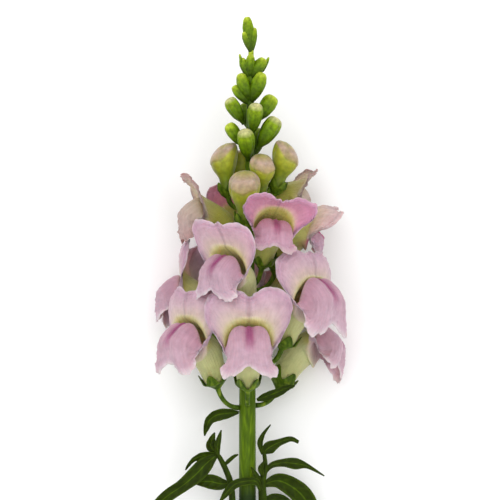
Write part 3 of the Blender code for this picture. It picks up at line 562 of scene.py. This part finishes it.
# A bud's petals: the smooth surface through its sections, each ring scaled about its middle: pinched by bell
# curves along the line where the hood meets the lower lip and down the hood's midline, with ribs by cosines
def budTubes(seat, facing, pitch, roll, size):
    count = fullBud["columns"]
    turns = np.arange(count) / count * 2 * math.pi
    rings = np.array([ellipse(section, turns) for section in fullBud["sections"]])
    last = len(rings) - 1
    row = np.linspace(0, last, fullBud["rows"])[:, None] + 0 * turns
    grid = through(rings, row)
    centre = grid.mean(1, keepdims=True)
    cos = np.cos(turns)
    mean, slant, wave = fullBud["mouth"]
    mouth = mean + slant * cos + wave * np.cos(5 * turns)
    seam = np.exp(-((row - mouth) / 0.1) ** 2) * ease(0.3, -0.2, cos)
    hood = ease(-0.35, 0.35, row - mouth) * ease(0.6, 0.0, cos - ease(4.4, 6, row))
    cheek = np.exp(-((cos + 0.35) / 0.2) ** 2) * ease(2.6, 4.4, row)
    middle = np.exp(-((turns - math.pi) / 0.09) ** 2) * ease(3.9, 5, row)
    ribs = (0.04 * np.cos(5 * turns + 0.6) + 0.015 * np.cos(8 * turns + 2 * row)
            + 0.012 * np.sin(3 * row + 13 * turns))
    width = (1 - fullBud["slimmer"] + fullBud["hood"] * hood + ribs * ease(2, 4, row)
             - fullBud["seam"] * seam - fullBud["cheek"] * cheek - fullBud["midline"] * middle)
    top = 1 - 0.6 * ease(last - 0.4, last, row)
    grid = centre + (grid - centre) * (width * top)[..., None]
    grid = placed(grid * size, faceFrame(seat, facing, pitch, roll))
    surfaceMap = np.stack([row / last, hood, seam + cheek], -1)
    return [(grid, surfaceMap)]


# Petals of a closed bud: smooth and slightly shiny, yellow green at the foot, the hood flushed with dull pink,
# with mottling 2.4 mm wide where the petals fold over each other
def budFinish(name):
    finish, tree, shader = newFinish(name, 0.45, **{
        "IOR": 1.42, "Specular IOR Level": 0.4, "Subsurface Weight": 0.15, "Subsurface Scale": 0.001,
        "Sheen Weight": 0.2, "Sheen Roughness": 0.45})
    kept = addNode(tree, "Attribute", attribute_name="surfaceMap")
    split = addNode(tree, "SeparateXYZ", {"Vector": kept.outputs["Vector"]})
    lower = addNode(tree, "ValToRGB", {"Fac": split.outputs["X"]},
                    [(0.0, "#3E5604"), (0.25, "#6C7E14"), (0.45, "#98A022"), (0.6, "#A4A62C"), (1.0, "#8C942A")])
    hood = addNode(tree, "ValToRGB", {"Fac": split.outputs["X"]},
                   [(0.5, "#A09650"), (0.62, "#AB976C"), (0.76, "#B49A8A"), (0.88, "#AA9866"), (1.0, "#9C9642")])
    colour = addNode(tree, "Mix", {"Factor": split.outputs["Y"], 6: lower.outputs[0], 7: hood.outputs[0]},
                     data_type="RGBA")
    # painted shade: darker olive in the seam where the hood meets the lower lip and in the hollows at its cheeks
    seam = addNode(tree, "Math", {0: split.outputs["Z"], 1: 0.3}, operation="MULTIPLY", use_clamp=True)
    colour = addNode(tree, "Mix", {"Factor": seam.outputs[0], 6: colour.outputs[2], 7: linear("#7C8420")},
                     data_type="RGBA")
    mottleSkin(tree, shader, colour.outputs[2], 420.0, (0.74, 1.22), 0.4, 0.0004)
    return finish


greenBud = {
    "profile": [(0.0, 0.3), (0.12, 0.36), (0.34, 0.78), (0.6, 0.98), (0.82, 1.0), (0.95, 0.72), (1.0, 0.3)],
    "rows": 36, "columns": 40, "seatGap": 0.3}
greenBuds = {  # height of the foot up the stem, facing, rise above the horizontal, length, width
    "right_lower": (220.0, 74, 56, 17.0, 8.4), "left_lower": (220.8, -66, 53, 13.2, 6.2),
    "front_lower": (215.0, -12, 60, 15.5, 8.2), "back_lower": (216.0, 160, 56, 16.0, 7.6),
    "right_upper": (232.5, 80, 55, 14.0, 7.6), "left_upper": (231.5, -72, 57, 13.6, 6.8),
    "front_upper": (226.5, 16, 62, 15.5, 7.4), "back_upper": (229.0, -168, 58, 14.0, 7.0),
}
spikeTip = {
    "profile": [(0.0, 0.34), (0.3, 0.82), (0.62, 1.02), (0.86, 0.86), (0.97, 0.55), (1.0, 0.3)],
    "axis": [(1.2, 238.3, 0.3, 1.6), (1.4, 250.0, 0.3, 1.5), (1.6, 266.0, 0.4, 1.2)],
    "rows": 24, "columns": 28,
    "buds": [  # foot, tip, width
        ((0.8, 242, 0.6), (-3.4, 254, 4.2), 6.0), ((0.6, 240.5, 0.4), (-6.4, 248.6, 1.2), 5.0),
        ((1.6, 241.5, 0.6), (6.8, 254.4, 4.0), 6.8), ((1.4, 243, -0.4), (2.2, 253.6, -5.2), 6.0),
        ((1.3, 252.6, 0.8), (1.4, 262.8, 2.6), 4.4), ((1.6, 252, 0.3), (7.6, 261, 1.6), 5.8),
        ((1.0, 252, 0), (-2.8, 261.2, 0.2), 4.2), ((1.2, 253, -0.6), (1.0, 262, -3.6), 4.6),
        ((-1.6, 253.8, 1), (-3.6, 263, 1.2), 1.6), ((7, 255, 1), (9.6, 261.6, 0.8), 1.6),
        ((1.5, 263.5, 0.6), (-0.3, 279.8, 1.0), 5.2), ((1.6, 263.5, 0.4), (3.0, 275, 0.6), 4.0),
        ((1.4, 264, 0.8), (-1.6, 273, 2.0), 3.6)]}
sepals = {"cleft": 0.13, "edge": 0.06}  # shares of a small bud's radius: depth of the clefts, step at the tips


# A small closed bud: rings on a straight axis, as wide as the profile says, with five shallow clefts between its
# sepals (the cube of a cosine's troughs) and a step down where the sepals end and the petals' tip shows
def clubTube(foot, tip, width, settings, seed):
    foot, tip = np.array(foot, float), np.array(tip, float)
    way = (tip - foot) / np.linalg.norm(tip - foot)
    side = np.cross(way, (0.31, 0.17, 0.93))  # any direction that no bud points in
    side /= np.linalg.norm(side)
    other = np.cross(way, side)
    turns = np.arange(settings["columns"]) / settings["columns"] * 2 * math.pi
    table = np.array(settings["profile"])[:, None]
    row = np.linspace(0, len(table) - 1, settings["rows"])[:, None]
    share, wide = np.moveaxis(through(table, row), -1, 0)
    wide = np.minimum(wide, 1.0) * np.where(share > 0.995, 0.4, 1)
    crest = 0.5 + 0.5 * np.cos(5 * turns + seed)
    cleft = sepals["cleft"] * (1 - crest) ** 3 * ease(0.15, 0.4, share) * (1 - ease(0.8, 0.97, share))
    step = sepals["edge"] * ease(0.62, 0.72, share - 0.12 * crest)
    radius = width / 2 * wide * (1 - cleft - step)
    spokes = np.cos(turns)[:, None] * side + np.sin(turns)[:, None] * other
    grid = foot + share[..., None] * (tip - foot) + radius[..., None] * spokes
    surfaceMap = np.stack([share + 0 * turns, np.broadcast_to(crest, radius.shape), 0 * radius + seed], -1)
    return grid, surfaceMap


# A small bud on the stem: its axis leaves the stem square to it and rises by the angle, a small gap off its skin
def greenBudTubes(height, facing, rise, length, width, seed):
    x, z, radius = stemAt(height)
    turn, lift = math.radians(facing), math.radians(rise)
    radial = np.array((math.sin(turn), 0, math.cos(turn)))
    way = radial * math.cos(lift) + np.array((0, math.sin(lift), 0))
    footRadius = width / 2 * greenBud["profile"][0][1]
    foot = np.array((x, height, z)) + radial * (radius + greenBud["seatGap"] + footRadius * math.sin(lift))
    return [clubTube(foot, foot + way * length, width, greenBud, seed)]


# Rings of a round stalk along a smooth path of points with radii, each square to the path; ribs is the share of
# the radius that five shallow grooves, a cosine round the stalk, take off
def rodTube(path, rows, columns, ribs=0.0):
    table = np.array(path, float)[:, None]
    row = np.linspace(0, len(path) - 1, rows)[:, None]
    line = through(table, row)[:, 0]
    spots, radii = line[:, :3], line[:, 3]
    way = np.gradient(spots, axis=0)
    way /= np.linalg.norm(way, axis=1, keepdims=True)
    side = np.cross(way, (0, 0, 1.0))
    side /= np.linalg.norm(side, axis=1, keepdims=True)
    other = np.cross(way, side)
    turns = np.arange(columns) / columns * 2 * math.pi
    girth = radii[:, None] * (1 - ribs * (0.3 + 0.25 * np.cos(5 * turns)))
    grid = (spots[:, None] + (girth * np.cos(turns))[..., None] * side[:, None]
            + (girth * np.sin(turns))[..., None] * other[:, None])
    share = np.broadcast_to(turns / 2 / math.pi, girth.shape)
    surfaceMap = np.stack([row / row[-1] + 0 * turns, share, 0 * girth], -1)
    return grid, surfaceMap


# Sepals of a small bud: dull wax, dark at the foot and yellow green at the tip, with mottling 1.7 mm wide
def greenBudFinish(name, pale):
    finish, tree, shader = newFinish(name, 0.5, **{
        "IOR": 1.45, "Specular IOR Level": 0.2, "Subsurface Weight": 0.05, "Subsurface Scale": 0.001})
    kept = addNode(tree, "Attribute", attribute_name="surfaceMap")
    split = addNode(tree, "SeparateXYZ", {"Vector": kept.outputs["Vector"]})
    base = addNode(tree, "ValToRGB", {"Fac": split.outputs["X"]},
                   [(0.0, "#2E4400"), (0.3, "#455E00"), (0.6, "#5C7A04"), (0.84, "#7E980C"), (1.0, pale)])
    # painted shade: darker in the clefts between the sepals
    cleft = addNode(tree, "MapRange", {"Value": split.outputs["Y"], "From Min": 0.0, "From Max": 0.25,
                                       "To Min": 0.85, "To Max": 1.0})
    mottleSkin(tree, shader, base.outputs[0], 600.0, (0.62, 1.35), 0.5, 0.0003, shade=cleft)
    return finish


blade = {
    "rows": 40, "columns": 13,
    "fold": 0.3, "wave": 0.1, "ripple": 0.05, "furrow": 0.05,  # heights as shares of the half width
    "thickness": (0.15, 0.25, 0.225),  # mm at the edge, more inside it, and more again at the midrib
    "midrib": 0.16,  # its half width as a share of the blade's
}
stemLeaves = {
    "leaf_left": ([(-4.0, 101.4, 1.6, 0.7), (-8.4, 101.2, 3.0, 2.2), (-13.6, 100.4, 3.8, 2.8),
                   (-17.2, 98.0, 3.4, 2.2), (-18.8, 93.8, 2.4, 1.2), (-19.4, 90.8, 1.6, 0.3)], 20),
    "leaf_right": ([(4.2, 107.0, 1.0, 0.7), (8.2, 108.6, 1.4, 2.2), (13.4, 110.6, 1.2, 2.2),
                    (17.6, 112.4, 0.6, 1.5), (21.2, 113.4, 0.0, 0.5)], -25),
}
sideShoots = {
    "side_shoot_left": {
        "stalk": [(-4.5, 47.0, 0.4, 0.9), (-5.6, 48.6, 0.6, 1.3), (-6.6, 56.0, 1.6, 1.5), (-7.0, 64.0, 2.8, 1.5),
                  (-8.0, 71.0, 3.4, 1.4), (-11.4, 79.0, 4.0, 1.2), (-14.4, 84.0, 4.2, 0.9)],
        "leaves": [
            ([(-13.0, 81.5, 4.4, 0.7), (-13.4, 86.0, 5.2, 1.5), (-12.6, 90.0, 5.4, 1.2),
              (-11.8, 93.6, 5.0, 0.3)], 30),
            ([(-13.6, 82.6, 3.4, 0.8), (-16.6, 86.0, 3.0, 2.3), (-16.0, 89.6, 3.2, 1.5),
              (-14.8, 92.4, 3.4, 0.3)], -15),
            ([(-14.0, 83.0, 3.8, 0.8), (-19.4, 82.2, 3.4, 2.2), (-24.0, 80.6, 3.2, 1.4), (-26.6, 77.8, 2.6, 0.9),
              (-28.0, 75.4, 2.0, 0.3)], 35),
            ([(-13.8, 82.4, 3.4, 0.9), (-18.6, 78.4, 3.0, 3.4), (-23.2, 73.6, 3.4, 3.8), (-29.4, 68.4, 3.8, 3.0),
              (-36.6, 63.4, 2.6, 2.8), (-43.0, 57.0, 0.6, 2.0), (-47.0, 51.6, -1.4, 0.4)], 0),
            ([(-7.8, 69.6, 2.8, 0.8), (-12.0, 69.2, 1.8, 2.8), (-17.0, 70.2, 1.0, 3.3), (-21.4, 70.0, 0.6, 2.0),
              (-24.6, 69.4, 0.2, 0.3)], 0),
            ([(-10.6, 77.6, 4.0, 0.6), (-8.4, 80.0, 5.0, 1.1), (-6.2, 81.8, 5.4, 0.9),
              (-4.2, 82.6, 5.2, 0.3)], -30)]},
    "side_shoot_right": {
        "stalk": [(4.6, 48.0, 0.4, 0.9), (5.9, 49.6, 0.8, 1.6), (6.6, 56.0, 1.8, 1.9), (6.8, 63.0, 2.8, 1.9),
                  (6.6, 70.0, 3.6, 1.7), (8.0, 77.0, 4.0, 1.1), (7.4, 83.6, 4.4, 0.9)],
        "leaves": [
            ([(6.8, 82.6, 4.2, 0.7), (5.8, 87.6, 4.6, 1.4), (7.4, 92.0, 5.0, 0.9), (10.4, 96.0, 5.2, 0.3)], 30),
            ([(6.8, 83.0, 4.0, 0.8), (9.6, 85.6, 3.4, 3.0), (14.2, 88.0, 3.8, 1.7), (19.4, 89.6, 4.8, 1.2),
              (23.0, 88.2, 5.6, 0.8)], -10),
            ([(7.2, 73.6, 3.6, 0.7), (10.8, 77.6, 4.2, 1.3), (16.0, 78.8, 4.6, 1.8), (21.6, 78.4, 4.6, 2.6),
              (27.0, 77.2, 4.0, 1.1), (34.6, 72.8, 2.6, 0.25)], 5),
            ([(6.6, 68.6, 3.0, 1.0), (13.6, 70.6, 2.2, 3.4), (20.4, 67.6, 1.6, 4.4), (25.6, 62.6, 0.6, 4.6),
              (28.6, 55.6, -1.6, 3.8), (29.4, 46.6, -4.2, 0.4)], 0),
            ([(5.6, 59.0, 1.0, 1.0), (11.6, 61.6, -1.0, 3.0), (17.4, 58.6, -3.0, 3.4), (20.4, 52.0, -5.0, 2.4),
              (21.4, 46.0, -6.4, 0.4)], 10),
            ([(6.0, 66.4, 5.0, 0.8), (3.4, 70.6, 6.0, 1.6), (-4.6, 69.8, 6.6, 1.9), (-9.0, 66.0, 6.4, 1.7),
              (-12.6, 61.2, 5.6, 0.4)], 0),
            ([(6.2, 70.0, 5.0, 0.6), (4.0, 73.0, 6.0, 1.3), (1.6, 77.0, 6.2, 0.3)], 0),
            ([(6.9, 72.8, 5.2, 0.6), (6.0, 76.2, 6.6, 1.3), (7.4, 79.8, 7.4, 0.3)], 20)]},
}


# A leaf: its midrib is a smooth path with a half width at each point; across it the blade runs from edge to edge,
# folded up a little on both sides, waved by a sine along its length, and thickest at the midrib
def bladeTube(midrib, lean, seed):
    table = np.array(midrib, float)[:, None]
    row = np.linspace(0, len(midrib) - 1, blade["rows"])[:, None]
    line = through(table, row)[:, 0]
    spots, half = line[:, :3], np.maximum(line[:, 3], 0.12)[:, None, None]
    way = np.gradient(spots, axis=0)
    way /= np.linalg.norm(way, axis=1, keepdims=True)
    side = np.cross(way, (0, 0, 1.0))
    side /= np.linalg.norm(side, axis=1, keepdims=True)
    normal = np.cross(side, way)
    turn = math.radians(lean)
    over = (side * math.cos(turn) + normal * math.sin(turn))
    fold = np.cross(over, way)[:, None]
    over = over[:, None]
    s = np.linspace(-1, 1, blade["columns"])[None, :, None]
    step = row[..., None]
    rise = blade["fold"] * np.abs(s) + blade["wave"] * np.sin(2.4 * step + 2 * s) * np.abs(s)
    rise += blade["ripple"] * np.sin(9 * step + 3 * s + seed) * s * s - blade["furrow"] * np.exp(-(s / 0.1) ** 2)
    sheet = spots[:, None] + over * half * s + fold * half * rise
    edge, inside, ridge = blade["thickness"]
    thick = (edge + inside * (1 - s * s) + ridge * np.exp(-(s / blade["midrib"]) ** 2)) / 2
    up = normalsOf(sheet, closed=False)
    ring = np.concatenate([sheet + up * thick, (sheet - up * thick)[:, ::-1]], axis=1)
    across = np.concatenate([s[0, :, 0], s[0, ::-1, 0]])
    surfaceMap = np.stack([row / row[-1] + 0 * across, np.broadcast_to(across, ring.shape[:2]),
                           np.full(ring.shape[:2], seed)], -1)
    return ring, surfaceMap


# Leaf blade: dark green and dull, with a paler midrib, slanting side veins and mottling 3.3 mm wide
def leafFinish(name):
    finish, tree, shader = newFinish(name, 0.5, **{
        "IOR": 1.45, "Specular IOR Level": 0.1, "Subsurface Weight": 0.05, "Subsurface Scale": 0.001})
    kept = addNode(tree, "Attribute", attribute_name="surfaceMap")
    split = addNode(tree, "SeparateXYZ", {"Vector": kept.outputs["Vector"]})
    off = addNode(tree, "Math", {0: split.outputs["Y"]}, operation="ABSOLUTE")
    colour = addNode(tree, "ValToRGB", {"Fac": off.outputs[0]},
                     [(0.0, "#465C04"), (0.06, "#384C02"), (0.12, "#2A3A00"), (0.7, "#222F00"), (1.0, "#364A02")])
    # side veins that leave the midrib at a slant, 4 to 6 mm apart
    slant = addNode(tree, "Math", {0: split.outputs["X"], 1: 34.0}, operation="MULTIPLY")
    lead = addNode(tree, "Math", {0: off.outputs[0], 1: -5.0}, operation="MULTIPLY")
    phase = addNode(tree, "Math", {0: slant.outputs[0], 1: lead.outputs[0]}, operation="ADD")
    ripple = addNode(tree, "Math", {0: phase.outputs[0]}, operation="SINE")
    vein = addNode(tree, "MapRange", {"Value": ripple.outputs[0], "From Min": 0.6, "From Max": 1.0,
                                      "To Min": 1.0, "To Max": 1.22})
    mottleSkin(tree, shader, colour.outputs[0], 300.0, (0.72, 1.3), 0.35, 0.0003, shade=vein, height=ripple)
    return finish


petals = {key: petalFinish(f"snapdragon_petal_{key}", look) for key, look in petalLooks.items()}
calyxSkin = greenFinish("waxy_calyx_skin", greenLooks["calyx"])
# the stem's finish is darkened at its foot by painted shade
stemSkin = greenFinish("waxy_stem_skin", greenLooks["stem"], paintedShadeFoot=True)
budSkin = budFinish("bud_petal_skin")
greenBudSkin = greenBudFinish("green_bud_skin", "#B8C83C")
frontBudSkin = greenBudFinish("pale_green_bud_skin", "#C9C58A")
leafSkin = leafFinish("leaf_blade_skin")
print("finishes made")

for seed, (name, flower) in enumerate(flowers.items()):
    *shape, drop, ruffle, look = flower
    node = f"bloom_{name}_corolla"
    tubesObject(f"petals_{name}", petalTubes(seed, *shape, ruffle), petals[look], node)
    cup = calyxTubes(*shape[:5], drop, openFlower["tube"])
    tubesObject(f"calyx_{name}", cup, calyxSkin, f"bloom_{name}_calyx")
print("flowers made")

for name, (*shape, drop) in fullBuds.items():
    tubesObject(f"bud_petals_{name}", budTubes(*shape), budSkin, f"bud_{name}_petals")
    cup = calyxTubes(*shape, drop, fullBud["sections"])
    tubesObject(f"bud_calyx_{name}", cup, calyxSkin, f"bud_{name}_calyx")
for seed, (name, shape) in enumerate(greenBuds.items()):
    skin = frontBudSkin if name in ("front_lower", "right_lower", "left_upper", "front_upper") else greenBudSkin
    tubesObject(f"green_bud_{name}", greenBudTubes(*shape, seed), skin, f"bud_{name}")
tip = [rodTube(spikeTip["axis"], 12, 20)]
tip += [clubTube(*bud, spikeTip, seed) for seed, bud in enumerate(spikeTip["buds"])]
tubesObject("spike_tip", tip, greenBudSkin, "bud_cluster_tip")
print("buds made")

stalk, stalkMap = rodTube(mainStem["path"], mainStem["rows"], mainStem["columns"], mainStem["ribs"])
cut = np.clip(1 - stalk[..., 1] / mainStem["cutReach"], 0, 1) * mainStem["cutSlope"]  # the rings lean to the cut
stalk[..., 1] += cut * (stalk[..., 2] + mainStem["path"][0][3])
tubesObject("main_stem", [(stalk, stalkMap)], stemSkin, "stem")
for seed, (name, (midrib, lean)) in enumerate(stemLeaves.items()):
    tubesObject(f"blade_{name}", [bladeTube(midrib, lean, seed)], leafSkin, name)
for name, shoot in sideShoots.items():
    tubes = [rodTube(shoot["stalk"], 40, 20)]
    tubes += [bladeTube(midrib, lean, seed) for seed, (midrib, lean) in enumerate(shoot["leaves"])]
    tubesObject(f"leafy_{name}", tubes, leafSkin, name)
print("stem and leaves made")


studio = {
    "floor": "#FFFFFF", "floorHalf": 3, "world": 0.86,
    "aim": (0, 0.05, 0.03),  # metres, the middle of the spike
    # place, side in metres and watts
    "boxes": {"key_box": ((-0.25, 0.3, 1.5), 1.5, 9.5), "fill_box": ((0.6, -0.6, 1.2), 0.8, 3.0)},
}
floorMesh = bpy.data.meshes.new("floor")
corners = [(x * studio["floorHalf"], y * studio["floorHalf"], 0) for x, y in ((-1, -1), (1, -1), (1, 1), (-1, 1))]
floorMesh.from_pydata(corners, [], [(0, 1, 2, 3)])
floor = bpy.data.objects.new("floor", floorMesh)
scene.collection.objects.link(floor)
paper, _, paperShader = newFinish("matte_paper", 0.9)  # white, rough and even, so shadows fade out on it
paperShader.inputs["Base Color"].default_value = linear(studio["floor"])
floorMesh.materials.append(paper)

sky = bpy.data.worlds.new("soft_room")
scene.world = sky
sky.use_nodes = True
sky.node_tree.nodes["Background"].inputs["Color"].default_value = (1, 1, 1, 1)
sky.node_tree.nodes["Background"].inputs["Strength"].default_value = studio["world"]

for name, (place, side, watts) in studio["boxes"].items():  # square soft boxes, turned to the aim
    lamp = bpy.data.lights.new(name, "AREA")
    lamp.shape = "SQUARE"
    lamp.size = side
    lamp.energy = watts
    box = bpy.data.objects.new(name, lamp)
    box.location = place
    box.rotation_euler = (Vector(studio["aim"]) - Vector(place)).to_track_quat("-Z", "Y").to_euler()
    scene.collection.objects.link(box)

# metres from the camera to the spike and across the view there, then plant millimetres, then the sensor's width
lens = {"distance": 1.6, "width": 0.225, "aim": (1.1, 174.6, 5.0), "sensor": 36}
cameraData = bpy.data.cameras.new("camera")
cameraData.sensor_width = lens["sensor"]
cameraData.lens = lens["sensor"] * lens["distance"] / lens["width"]
camera = bpy.data.objects.new("camera", cameraData)
tilt = math.radians(lying["tilt"])
back = Vector((0, -math.sin(tilt), math.cos(tilt)))
camera.location = Vector(layDown(lens["aim"])) + back * lens["distance"]
camera.rotation_euler = (tilt, 0, 0)
scene.collection.objects.link(camera)
scene.camera = camera
scene.view_settings.view_transform = "Standard"
